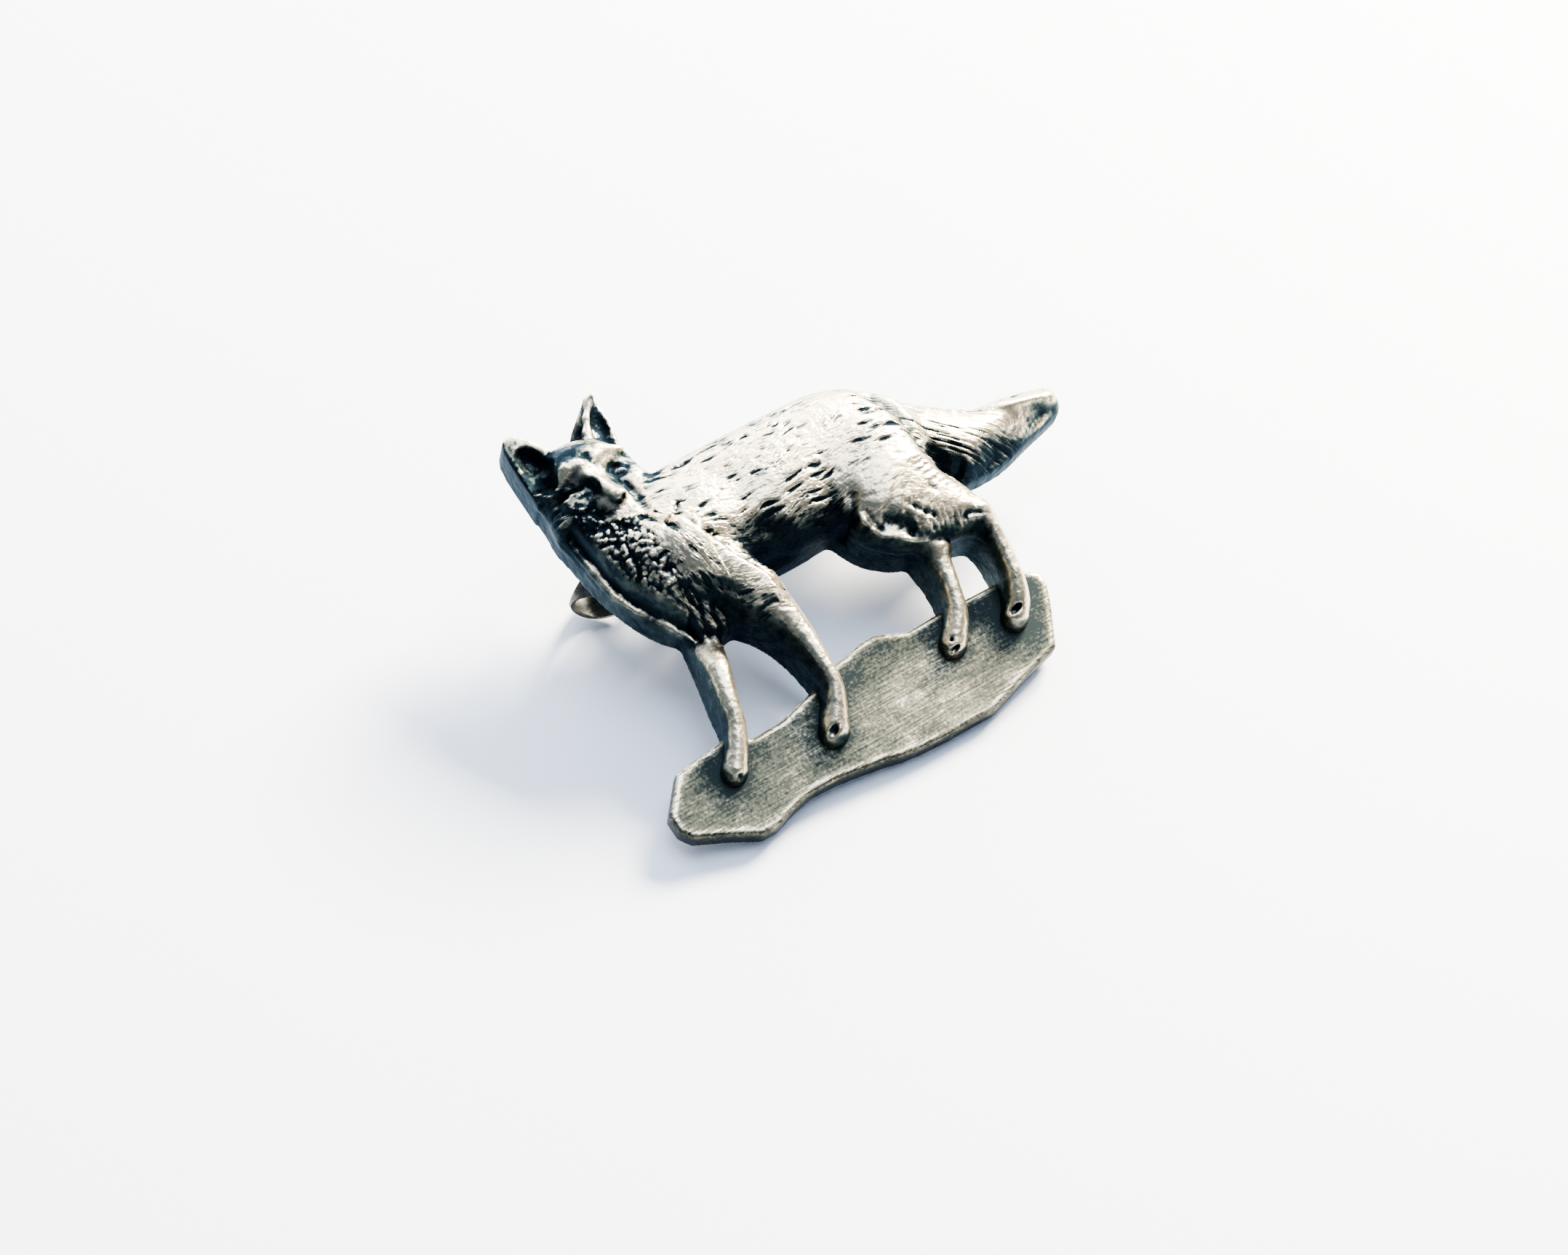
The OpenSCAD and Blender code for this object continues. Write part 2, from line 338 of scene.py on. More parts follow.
# the fox: u, v, radius, height of the wall, height of the crest
fox = {
    "step": 0.133,
    "torso": [(15.0, 21.3, 5.0, 3.0, 5.9), (20.0, 21.3, 5.0, 3.0, 6.5), (24.0, 21.4, 4.9, 3.0, 6.4),
              (26.8, 21.2, 4.9, 3.0, 6.4), (28.5, 20.3, 4.7, 3.0, 6.2)],
    "thigh": [(28.2, 19.4, 4.4, 3.2, 6.8), (27.8, 16.9, 4.5, 4.2, 6.9), (30.0, 14.3, 2.6, 3.9, 6.0),
              (32.3, 12.2, 1.1, 3.4, 5.2)],
    "nearHindLeg": [(32.3, 12.2, 1.1, 3.4, 5.2), (32.5, 10.6, 0.9, 3.0, 4.8), (32.4, 9.0, 0.82, 2.8, 4.4),
                    (32.1, 7.2, 0.85, 2.6, 4.1), (31.6, 5.8, 0.95, 2.2, 3.6), (31.0, 5.0, 1.0, 1.8, 3.1)],
    "farHindLeg": [(28.3, 12.6, 1.3, 2.8, 4.4), (28.0, 10.2, 0.92, 2.7, 4.0), (27.7, 8.6, 0.78, 2.6, 3.8),
                   (27.1, 6.9, 0.82, 2.4, 3.5), (25.9, 5.4, 1.0, 1.8, 3.0)],
    "nearForeleg": [(12.9, 19.8, 3.5, 3.2, 6.9), (14.6, 16.4, 2.5, 3.3, 6.3), (15.7, 13.2, 1.55, 3.1, 5.2),
                    (16.2, 11.0, 1.15, 2.9, 4.6), (16.35, 8.6, 0.85, 2.8, 4.3), (16.2, 6.4, 0.8, 2.5, 3.9),
                    (14.9, 4.1, 1.1, 1.8, 3.2)],
    "farForeleg": [(10.9, 14.8, 1.3, 2.3, 3.0), (10.4, 13.1, 1.1, 2.4, 3.3), (10.0, 11.6, 1.0, 2.7, 3.9),
                   (9.35, 9.4, 0.85, 2.7, 3.9), (8.9, 7.6, 0.75, 2.6, 3.6), (8.1, 6.1, 0.8, 2.2, 3.3),
                   (7.3, 5.0, 0.95, 1.8, 3.0)],
    "chest": [(10.0, 25.2, 3.9, 2.7, 4.8), (10.7, 21.6, 4.1, 2.9, 5.7), (11.5, 18.6, 3.8, 2.9, 5.5),
              (12.1, 16.4, 2.7, 2.9, 4.6)],
    "shoulder": [(11.2, 21.4, 3.6, 3.0, 6.2), (14.4, 20.8, 4.4, 3.0, 6.6)],
    "tail": [(30.4, 19.7, 4.3, 1.6, 5.0), (36.4, 17.8, 2.6, 1.0, 4.2), (40.0, 18.0, 2.0, 0.9, 3.7),
             (42.9, 18.0, 1.3, 0.8, 3.0)],
    "skull": [(9.95, 27.5, 3.85, 2.5, 4.5), (10.1, 25.7, 3.9, 2.6, 4.8)],
    # how softly each limb runs into what is there, in the order of modelling
    "soft": {"torso": 0.4, "tail": 0.4, "chest": 0.7, "shoulder": 0.8, "thigh": 0.6, "nearForeleg": 0.5,
             "farForeleg": 0.4, "nearHindLeg": 0.4, "farHindLeg": 0.35, "skull": 0.5},
}

foxClay = startClay((4.6, 2.4, -0.4), (45.0, 34.6, 8.0), fox["step"])
for name, soft in fox["soft"].items():
    limb(fox[name], soft)
print("body modelled")

# head: forehead, brows, cheeks, muzzle and chin
ball((9.6, 28.7, 3.4), (3.0, 1.9, 1.7), 0.6)
rod([(7.2, 28.2, 4.2), (8.4, 28.8, 4.75), (9.3, 28.5, 5.05)], 0.42, 0.5, 0.4)
rod([(10.1, 28.6, 4.8), (11.4, 29.1, 4.5), (12.8, 28.7, 3.9)], 0.45, 0.35, 0.35)
ball((7.4, 25.2, 2.8), (1.5, 2.0, 1.4), 0.8)
ball((12.5, 25.7, 3.2), (1.2, 1.8, 1.5), 0.5)
rod([(9.5, 27.6, 4.1), (10.1, 25.1, 4.8)], 1.1, 0.95, 0.5)
rod([(9.1, 28.3, 4.7), (9.45, 26.8, 5.2), (10.1, 25.2, 5.7)], 0.42, 0.46, 0.35)
ball((10.15, 24.95, 5.9), (0.58, 0.42, 0.42), 0.25)
rod([(9.7, 25.0, 4.5), (9.8, 23.6, 4.6)], 1.0, 0.75, 0.35)
rod([(10.75, 25.7, 4.6), (10.8, 24.5, 4.7), (10.2, 23.4, 4.75)], 0.5, 0.48, 0.3)
carve([(10.8, 26.7), (11.5, 25.8), (11.65, 24.6), (11.2, 23.5)], 0.35, 0.22)
carve([(8.6, 23.1), (9.8, 22.7), (11.0, 22.9), (11.7, 23.8)], 0.35, 0.3)
carve([(9.95, 29.2), (10.15, 28.3)], 0.35, 0.16)

# eyes: wide shallow sockets round a full eyeball, with a lower lid; then the mouth and nostrils
ball((7.85, 26.55, 5.5), (1.7, 1.3, 0.75), 0.35, True, 6)
ball((8.15, 26.5, 4.15), (1.3, 1.0, 0.75), 0.3, turn=-6)
carve([(6.9, 27.0), (7.7, 27.25), (8.6, 27.0)], 0.16, 0.22)
carve([(7.0, 26.3), (7.5, 25.75), (8.3, 25.6)], 0.16, -0.16)
carve([(7.3, 26.8), (8.0, 26.5), (8.8, 26.4)], 0.2, 0.1)
ball((11.9, 27.3, 4.95), (1.2, 0.9, 0.75), 0.15, True, 10)
ball((11.8, 27.15, 4.0), (0.8, 0.5, 0.5), 0.15, turn=10)
carve([(11.4, 27.6), (12.0, 27.5), (12.6, 27.1)], 0.16, 0.2)
rod([(8.9, 24.2, 5.2), (9.5, 23.95, 5.75), (10.3, 23.95, 5.75)], 0.2, 0.16, 0.15, True)
ball((9.55, 24.5, 6.1), (0.26, 0.22, 0.4), 0.1, True)
ball((10.4, 24.6, 6.05), (0.26, 0.22, 0.4), 0.1, True)

# ears: the outlines of their shells, and scoops that run out to their edges
ears = {
    "leftShell": [(6.0, 28.0), (6.0, 30.6), (6.05, 32.0), (6.15, 32.9), (6.4, 33.5), (6.8, 33.75),
                  (7.25, 33.65), (7.8, 33.1), (8.4, 32.2), (9.0, 31.2), (9.5, 30.2), (9.0, 28.6)],
    "rightShell": [(10.0, 30.0), (10.6, 31.3), (11.5, 32.3), (12.5, 33.1), (13.2, 33.65), (13.75, 33.7),
                   (14.05, 33.0), (14.1, 31.4), (13.6, 29.4), (11.5, 29.4)],
    "rightScoop": [(12.3, 30.4), (12.6, 31.4), (13.1, 32.4), (13.75, 33.3), (15.0, 34.0), (15.0, 28.6),
                   (13.6, 28.8), (12.8, 29.5)],
}
slab(ears["leftShell"], (2.8, 0.16, 0.0), 0.25, 0.35)
ball((7.25, 31.1, 4.0), (1.1, 1.8, 1.75), 0.15, True, 10)
ball((6.95, 29.6, 3.9), (0.85, 1.7, 1.35), 0.35, True, 12)
slab(ears["rightShell"], (0.9, 0.72, 0.0), 0.25, 0.35)
rod([(11.6, 30.3, 3.0), (11.9, 31.2, 3.0), (12.5, 32.2, 3.0), (13.4, 33.4, 2.9)], 0.34, 0.24, 0.3)
slab(ears["rightScoop"], (2.5, 0.1, 0.0), 0.35, 0.25, True)
ball((13.15, 31.2, 3.3), (0.75, 1.5, 0.95), 0.25, True, -14)
print("head modelled")

# the rim down the neck with a valley behind it, and the breast, a shelf whose underside drops steeply
breast = {
    "valley": [(5.6, 25.0), (6.0, 22.0), (6.4, 19.6), (7.3, 17.8), (8.4, 15.9), (9.5, 13.9), (10.4, 14.1),
               (10.1, 14.9), (9.3, 16.3), (8.4, 17.7), (7.6, 19.4), (7.1, 21.4), (6.8, 25.0)],
    "rim": [(6.3, 28.0, 2.5), (6.45, 25.0, 2.45), (6.8, 22.0, 2.4), (7.1, 19.8, 2.25), (7.9, 18.1, 2.15),
            (8.8, 16.7, 2.15), (9.6, 15.3, 2.2), (10.2, 14.2, 2.3)],
    "shelf": [(8.9, 17.4), (10.1, 16.9), (11.1, 16.4), (12.1, 15.9), (12.6, 15.0), (13.3, 14.2),
              (13.9, 13.5), (15.6, 13.4), (16.0, 15.0), (15.0, 16.8), (14.5, 18.2), (14.0, 20.1),
              (13.0, 21.6), (10.6, 21.6), (9.0, 19.8)],
    "underside": [(8.8, 17.0), (10.1, 16.6), (11.1, 16.1), (12.0, 15.5), (12.5, 14.7), (13.2, 14.0),
                  (13.9, 12.6), (12.9, 12.7), (11.9, 13.2), (10.3, 13.6), (10.0, 14.2), (9.3, 15.6)],
    "linesAt": (10.1, 10.8, 11.6, 12.4),  # u of the upright lines on the underside
}
slab(breast["valley"], (2.3, 0, 0), 0.2, 0.6, True)
rod(breast["rim"], 0.3, 0.36, 0.25)
slab(breast["shelf"], (4.9, 0.17, 0.1), 0.5, 0.6)
slab(breast["underside"], (4.8, 0.15, 0.5), 0.1, 0.35, True)
for place in breast["linesAt"]:
    carve([(place + 0.3, 16.2 - 0.4 * (place - 10)), (place, 14.9), (place + 0.1, 13.6)], 0.16, 0.2)

# the shoulder's raised plane and the flank's sunk one, then the creases of shoulder, haunch and tail
swell([(8.9, 20.6), (11.5, 22.4), (13.4, 21.5), (14.0, 19.4), (14.6, 17.5), (15.6, 15.8), (16.3, 13.4),
       (14.2, 14.0), (13.0, 15.8), (11.4, 17.0), (9.4, 17.5)], 0.35, 0.35)
swell([(13.9, 19.2), (14.6, 17.5), (15.6, 16.0), (17.8, 15.6), (19.5, 16.6), (18.5, 18.8)], -0.5, 0.8)
carve([(13.4, 22.6), (12.6, 21.7), (11.3, 21.1)], 0.2, 0.3)
carve([(13.5, 20.2), (14.1, 18.6), (15.0, 16.8), (16.1, 15.0)], 0.3, 0.45)
carve([(29.9, 24.2), (30.8, 22.2), (31.1, 19.8), (31.1, 17.4), (31.9, 14.9)], 0.5, 0.55)
carve([(31.9, 18.5), (32.6, 16.6), (33.8, 15.6)], 0.8, 0.7)
carve([(24.6, 17.4), (24.1, 16.5), (23.5, 15.6)], 0.4, 0.35)

# thigh: a lip along its lower edge, a pocket and short nicks above it and a soft fold below
carve([(24.1, 16.2), (24.0, 14.9), (24.6, 13.6), (26.6, 12.2), (28.2, 11.4), (29.4, 11.2), (30.8, 11.3)],
      0.42, -0.3, 3.0)
carve([(24.5, 16.0), (24.6, 14.9), (25.1, 13.9)], 0.3, 0.18)
carve([(25.2, 14.9), (25.9, 14.1), (26.5, 13.6), (27.2, 12.8)], 0.5, 0.42)
carve([(27.2, 14.7), (28.1, 13.7), (28.9, 13.0)], 0.2, 0.2)
carve([(29.4, 15.2), (29.8, 14.5)], 0.2, 0.2)
carve([(30.6, 12.1), (31.3, 12.3), (32.2, 11.9)], 0.2, 0.2)
carve([(24.3, 13.0), (25.4, 12.2), (26.8, 11.4)], 0.4, -0.15, 1.0)

# the tail's tip: three plain facets
carve([(35.6, 15.8), (39.4, 17.2), (42.8, 17.2)], 0.9, 0.4)
carve([(37.5, 19.4), (40.0, 18.4), (43.0, 17.9)], 0.4, -0.3)
carve([(37.4, 20.4), (39.5, 19.6), (41.5, 19.2)], 0.35, 0.3)

# paws: the hollows between the toes, and a nick on the far hind one
ball((14.3, 3.75, 3.1), (0.62, 0.36, 0.6), 0.12, True, 35)
ball((13.75, 3.4, 2.7), (0.3, 0.2, 0.4), 0.1, True, 10)
ball((6.4, 4.35, 2.6), (0.2, 0.42, 0.5), 0.1, True, -20)
ball((7.1, 4.15, 2.7), (0.16, 0.36, 0.5), 0.1, True, -20)
ball((25.6, 5.5, 2.95), (0.15, 0.2, 0.4), 0.06, True, -30)
ball((25.4, 4.85, 2.6), (0.55, 0.16, 0.4), 0.08, True, 8)
ball((30.8, 5.15, 3.1), (0.62, 0.24, 0.5), 0.1, True, 10)
flatBack()
print("body detailed")


def skin(made):
    # one corner in each cell that the surface crosses, one face across each crossed edge
    values = made["field"]
    inside = values < 0
    n = np.array(values.shape) - 1
    corners = list(np.ndindex(2, 2, 2))
    count = np.zeros(n, np.int8)
    for i, j, k in corners:
        count += inside[i:n[0] + i, j:n[1] + j, k:n[2] + k]
    mixed = (count > 0) & (count < 8)
    cells = np.argwhere(mixed)
    number = np.full(n, -1, np.int64)
    number[mixed] = np.arange(len(cells))
    total = np.zeros((len(cells), 3))
    hits = np.zeros(len(cells))
    for a in corners:
        for axis in range(3):
            if a[axis]:
                continue
            b = np.array(a)
            b[axis] = 1
            va, vb = [values[tuple((cells + c).T)] for c in (a, b)]
            cross = (va < 0) != (vb < 0)
            t = np.where(cross, va / np.where(cross, va - vb, 1), 0)
            total += np.where(cross[:, None], np.array(a) + t[:, None] * (b - np.array(a)), 0)
            hits += cross
    places = made["low"] + (cells + total / hits[:, None]) * made["step"]
    faces = []
    for axis in range(3):
        o1, o2 = [k for k in range(3) if k != axis]
        base = np.ones(3, int)
        base[axis] = 0
        fa = inside[tuple(slice(b, m) for b, m in zip(base, n))]
        fb = inside[tuple(slice(1, m + 1 - b) for b, m in zip(base, n))]
        for flip, hit in ((False, fa & ~fb), (True, ~fa & fb)):
            at = np.argwhere(hit) + base
            quad = []
            for d1, d2 in ((0, 0), (-1, 0), (-1, -1), (0, -1)):
                p = at.copy()
                p[:, o1] += d1
                p[:, o2] += d2
                quad.append(number[tuple(p.T)])
            quad = np.stack(quad, 1)
            if flip != (axis == 1):
                quad = quad[:, ::-1]
            faces.append(quad)
    return places, np.vstack(faces)


def ramp(x, a, b):
    # 0 up to a, 1 from b on, smooth between
    t = np.clip((x - a) / (b - a), 0, 1)
    return t * t * (3 - 2 * t)


def fieldAt(made, points):
    # the field at any points, from the corners of the cell round each
    values = made["field"]
    f = (points - made["low"]) / made["step"]
    f = np.clip(f, 0, np.array(values.shape) - 1.001)
    i = f.astype(int)
    t = f - i
    out = 0
    for corner in np.ndindex(2, 2, 2):
        x, y, z = np.where(corner, t, 1 - t).T
        out = out + x * y * z * values[tuple((i + corner).T)]
    return out


def normalsAt(made, points):
    steps = np.eye(3) * made["step"]
    g = np.stack([fieldAt(made, points + e) - fieldAt(made, points - e) for e in steps], 1)
    return g / np.maximum(np.linalg.norm(g, axis=1, keepdims=True), 1e-6)


def cornersOf(piece, what="co"):
    out = np.empty(len(piece.data.vertices) * 3)
    piece.data.vertices.foreach_get(what, out)
    return out.reshape(-1, 3)


def addValues(piece, name, values):
    layer = piece.data.attributes.new(name, "FLOAT", "POINT")
    layer.data.foreach_set("value", np.asarray(values, np.float32))


def valuesOf(piece, name):
    out = np.empty(len(piece.data.vertices), np.float32)
    piece.data.attributes[name].data.foreach_get("value", out)
    return out


def flattenBack(piece):
    # the back is flat: its many small faces become a few large ones with a crisp edge
    bm = bmesh.new()
    bm.from_mesh(piece.data)
    low = toBrooch(cornersOf(piece))[:, 2] < 0.02
    back = [f for f in bm.faces if all(low[c.index] for c in f.verts)]
    inBack = set(back)
    edges = [e for e in bm.edges if any(f in inBack for f in e.link_faces)]
    for e in edges:
        e.smooth = all(f in inBack for f in e.link_faces)
    bmesh.ops.dissolve_limit(bm, angle_limit=0.02, verts=list({c for f in back for c in f.verts}),
                             edges=[e for e in edges if e.smooth])
    bm.to_mesh(piece.data)
    bm.free()


# where the coat grows and which way it lies, in mm
growth = {
    "tailStart": ([14.9, 17.8, 21.4, 24.0], [31.9, 31.1, 31.0, 29.9]),  # v, u
    "neckRim": ([14.3, 16.7, 19.8, 22.0, 25.0], [10.2, 8.8, 7.1, 6.8, 6.45]),  # v, u
    "fall": ([14, 18, 24, 27, 30, 33], [0.25, 0.05, -0.08, 0.05, 0.35, 0.6]),  # u, slope of the hairs
    "tailLayer": 3.3,  # each part's strokes are in a layer of their own
    "chestLayer": 6.7,
    "openReach": (0.35, 0.8, 1.6),  # how far off the surface the space is felt
}
places, faces = skin(foxClay)
normals = normalsAt(foxClay, places)
u, v, w = places.T
rimAt = np.interp(v, *growth["neckRim"])
tailFrom = np.interp(v, *growth["tailStart"])
onTail = ramp(u, tailFrom - 0.2, tailFrom + 0.2)
onHead = ramp(v + 0.35 * u, 26.6, 27.2) * ramp(-u, -13.8, -13.2)
onChest = ramp(-u, -13.6, -13.0) * (1 - onHead) * ramp(v, 12.4, 13.4)
front = ramp(normals[:, 2], 0.1, 0.45)

# s along the hairs and t across them: down the back and haunch, along the tail, down the chest
wave = 0.22 * np.sin(0.9 * u + 1.3 * v) + 0.2 * np.sin(1.7 * u - 0.8 * v + 2)
steps = np.arange(4, 46, 0.25)
slopes = np.interp(steps, *growth["fall"])
fall = np.interp(u, steps, np.cumsum(slopes) * 0.25)
s = u.copy()
t = v + fall + wave * 0.5
layer = np.zeros(len(u))
s = np.where(onTail > 0.5, (0.75 * u - 0.66 * v) * 0.4, s)
t = np.where(onTail > 0.5, (0.66 * u + 0.75 * v + 0.012 * (u - 31) * (v - 18)) * 1.9, t)
layer = np.where(onTail > 0.5, growth["tailLayer"], layer)
s = np.where(onChest > 0.5, -v + 0.4 * u + wave * 0.3, s)
t = np.where(onChest > 0.5, u + 0.4 * v, t)
layer = np.where(onChest > 0.5, growth["chestLayer"], layer)

# legs, tail's tip, face and ears are bare
leg = 1 - ramp(v, 11.5, 14.0)
smoothTail = ramp(u + 0.4 * (v - 18), 37.2, 39.0)
face = np.exp(-((u - 10.2) / 3.2) ** 6 - ((v - 27.6) / 3.6) ** 6)
earsAt = ramp(v, 28.8, 29.6)
fur = front * (1 - 0.96 * leg) * (1 - smoothTail) * (1 - face) * (1 - earsAt)
# thinner on the thigh's two lower parts and at the elbow
fur *= 1 - 0.6 * ramp(u, 28.3, 30.0) * (1 - onTail) * ramp(-v, -15.5, -14.0)
fur *= 1 - 0.8 * ramp(u, 23.6, 24.8) * (1 - onTail) * ramp(-v, -19.5, -17.5)
fur *= 1 - 0.65 * np.exp(-((u - 14.6) / 1.4) ** 2 - ((v - 16.2) / 2.6) ** 2)
# the ruff of tufts: cheek and chest, up to the rim
cheekRuff = onHead * ramp(-u, -8.9, -8.2) * (1 - ramp(v, 25.2, 26.2))
chestRuff = onChest * ramp(-u, -11.6, -9.6) * ramp(v, 16.9, 17.8)
tuft = np.clip(cheekRuff + chestRuff, 0, 1) * front * (1 - earsAt) * ramp(u - rimAt, 0.5, 0.8)
fur *= (1 - 0.8 * tuft) * np.where(v < 25, ramp(u - rimAt, 0.6, 1.0), 1)

openness = np.ones(len(u))
for reach in growth["openReach"]:
    openness *= np.clip(fieldAt(foxClay, places + normals * reach) / reach, 0.1, 1) ** 0.7

foxPiece = meshPiece("foxCast", toRow(places), faces)
flow = foxPiece.data.attributes.new("flow", "FLOAT_VECTOR", "POINT")
flow.data.foreach_set("vector", (np.stack([s, t, layer], 1) * mm).astype(np.float32).ravel())
for name, values in (("fur", fur), ("tuft", tuft), ("openness", openness)):
    addValues(foxPiece, name, values)
flattenBack(foxPiece)
print("fox skin:", len(foxPiece.data.vertices), "corners,",
      sum(len(f.vertices) - 2 for f in foxPiece.data.polygons), "triangles")

# a coat of chased strokes that follows the body
coat = {
    "Stroke Length": 2.3 * mm,
    "Stroke Width": 0.52 * mm,
    "Stroke Depth": 0.16 * mm,
    "Tuft Size": 0.4 * mm,
    "Tuft Depth": 0.34 * mm,
    "Seed": 4.0,
}


def overFlow(tree, flow, length, width, seed=0.0):
    # a point along the hairs, across them and in a layer of its own for each part of the coat
    parts = node(tree, "SeparateXYZ", (flow,))
    x = node(tree, "Math", (parts[0], length), operation="DIVIDE")[0]
    y = node(tree, "Math", (parts[1], width), operation="DIVIDE")[0]
    z = node(tree, "Math", (parts[2], 1 / mm, seed), operation="MULTIPLY_ADD")[0]
    return node(tree, "CombineXYZ", (x, y, z))[0]


def ragged(tree, at, scale, amount):
    # the same point pushed about by noise, so that no edge is smooth
    push = node(tree, "TexNoise", {"Vector": at, "Scale": scale})["Color"]
    return node(tree, "VectorMath", (push, amount, at), operation="MULTIPLY_ADD")[0]


def dashes(tree, flow, length, width, seed, low, high):
    # 1 in the middle of each stroke, 0 between them: thin cells stretched along the hairs
    at = overFlow(tree, flow, length, width, seed)
    pushed = ragged(tree, at, 1.6, (0.55, 0.8, 0.5))
    cells = node(tree, "TexVoronoi", {"Vector": pushed, "Scale": 1.0})["Distance"]
    uneven = node(tree, "TexNoise", {"Vector": at, "Scale": 0.37, "Detail": 1.0})["Fac"]
    cells = node(tree, "Math", (cells, 0.33), operation="SUBTRACT")[0]
    cells = node(tree, "Math", (uneven, 0.7, cells), operation="MULTIPLY_ADD")[0]
    return node(tree, "MapRange", (cells, low, high, 1.0, 0.0), interpolation_type="SMOOTHSTEP")[0]


def curls(tree, flow, size):
    # small tufts with pits between them, for the ruff
    at = ragged(tree, overFlow(tree, flow, size, size), 1.1, (1.1, 1.1, 0.6))
    return node(tree, "TexVoronoi", {"Vector": at, "Scale": 1.0, "Smoothness": 0.3},
                feature="SMOOTH_F1")["Distance"]


def coatTree(material):
    tree = bpy.data.node_groups.new("chasedCoat", "GeometryNodeTree")
    tree.interface.new_socket("Geometry", in_out="INPUT", socket_type="NodeSocketGeometry")
    for name in coat:
        tree.interface.new_socket(name, in_out="INPUT", socket_type="NodeSocketFloat")
    tree.interface.new_socket("Geometry", in_out="OUTPUT", socket_type="NodeSocketGeometry")
    given = node(tree, "NodeGroupInput")
    flow, fur, tuft = [node(tree, "GeometryNodeInputNamedAttribute", {"Name": name}, data_type=kind)[0]
                       for name, kind in (("flow", "FLOAT_VECTOR"), ("fur", "FLOAT"), ("tuft", "FLOAT"))]
    pits = dashes(tree, flow, given["Stroke Length"], given["Stroke Width"], given["Seed"], 0.08, 0.42)
    pits = node(tree, "Math", (pits, fur), operation="MULTIPLY")[0]
    pits = node(tree, "Math", (pits, given["Stroke Depth"]), operation="MULTIPLY")[0]
    lumps = node(tree, "Math", (0.45, curls(tree, flow, given["Tuft Size"])), operation="SUBTRACT")[0]
    lumps = node(tree, "Math", (lumps, tuft), operation="MULTIPLY")[0]
    lumps = node(tree, "Math", (lumps, given["Tuft Depth"]), operation="MULTIPLY")[0]
    rise = node(tree, "Math", (lumps, pits), operation="SUBTRACT")[0]
    normal = node(tree, "GeometryNodeInputNormal")[0]
    offset = node(tree, "VectorMath", {0: normal, "Scale": rise}, operation="SCALE")[0]
    moved = node(tree, "GeometryNodeSetPosition", {"Geometry": given["Geometry"], "Offset": offset})[0]
    real = node(tree, "GeometryNodeRealizeInstances", (moved,))[0]
    dressed = node(tree, "GeometryNodeSetMaterial", {"Geometry": real, "Material": material})[0]
    node(tree, "NodeGroupOutput", (dressed,))
    return tree


def growCoat(piece, tree, values):
    # runs the tree on a piece and keeps the result as a plain mesh
    change = piece.modifiers.new("coat", "NODES")
    change.node_group = tree
    for item in tree.interface.items_tree:
        if item.in_out == "INPUT" and item.name in values:
            change[item.identifier] = values[item.name]
    depsgraph = bpy.context.evaluated_depsgraph_get()
    made = bpy.data.meshes.new_from_object(piece.evaluated_get(depsgraph), preserve_all_data_layers=True,
                                           depsgraph=depsgraph)
    piece.modifiers.remove(change)
    piece.data = made
    made.name = piece.name


def drawnOut(tree, at, sizes, detail=2.0, roughness=0.5):
    # noise drawn out to these sizes, mm, along the three axes
    at = node(tree, "Mapping", {"Vector": at, "Scale": [1 / (size * mm) for size in sizes]})[0]
    return node(tree, "TexNoise", {"Vector": at, "Scale": 1.0, "Detail": detail,
                                   "Roughness": roughness})["Fac"]


def addUp(tree, total, parts):
    # each value times its amount, added to what is there
    for value, amount in parts:
        total = node(tree, "Math", (value, amount, total), operation="MULTIPLY_ADD")[0]
    return total


def finishMetal(tree, shader, finish, wearAndShade, height):
    # colour and roughness follow the wear with its painted shade and painted highlight, and the height
    # becomes a bump
    tones = tree.nodes.new("ShaderNodeValToRGB")
    tree.links.new(wearAndShade, tones.inputs["Fac"])
    stops = finish["tones"]
    ends = tones.color_ramp.elements
    for end, (where, code) in ((ends[0], stops[0]), (ends[1], stops[-1])):
        end.position = where
        end.color = colour(code)
    for where, code in stops[1:-1]:
        ends.new(where).color = colour(code)
    strength, depth = finish["bump"]
    bump = node(tree, "Bump", {"Height": height, "Strength": strength, "Distance": depth * mm})[0]
    rough = node(tree, "MapRange", (wearAndShade, *finish["rough"]))[0]
    tree.links.new(tones.outputs["Color"], shader.inputs["Base Color"])
    tree.links.new(rough, shader.inputs["Roughness"])
    tree.links.new(bump, shader.inputs["Normal"])
    shader.inputs["Metallic"].default_value = 1.0


# pewter, cast: oxidised blue-black in the hollows and rubbed to a warm grey shine on the high places, with
# painted shade and painted highlight carried in by the wear value
castFinish = {
    # wear with painted shade, and colour: oxide, olive, dull, worn, bright
    "tones": [(0.08, "#060D12"), (0.26, "#27312F"), (0.44, "#6A6B60"), (0.62, "#BDB196"),
              (0.82, "#F8E2B6")],
    "rough": (0.1, 0.7, 0.55, 0.3),  # between these two wears, from this roughness to that
    "bump": (0.6, 0.05),  # strength, mm
    "edgeTint": "#C6D0DA",
    "grain": 0.28,  # mm, the casting's skin
    "hammerMarks": 0.75,
    "islands": 1.7,  # of oxide
    "thinPlaces": 4.5,  # where small strokes leave off
    "hairs": (1.6, 0.16, 1.0),  # along and across them, and one for the layer
    "strands": (1.4, 0.32, 1.0),
    "specks": (0.75 * mm, 0.24 * mm),
}
castPewter, tree, shader = startMaterial("oxidisedCastPewter")
place = node(tree, "TexCoord")["Object"]
flow = node(tree, "Attribute", attribute_name="flow")["Vector"]
fur, tuft, wearAndShade, front = [node(tree, "Attribute", attribute_name=name)["Fac"]
                          for name in ("fur", "tuft", "wornAndShaded", "front")]
length, width, seed = coat["Stroke Length"], coat["Stroke Width"], coat["Seed"]
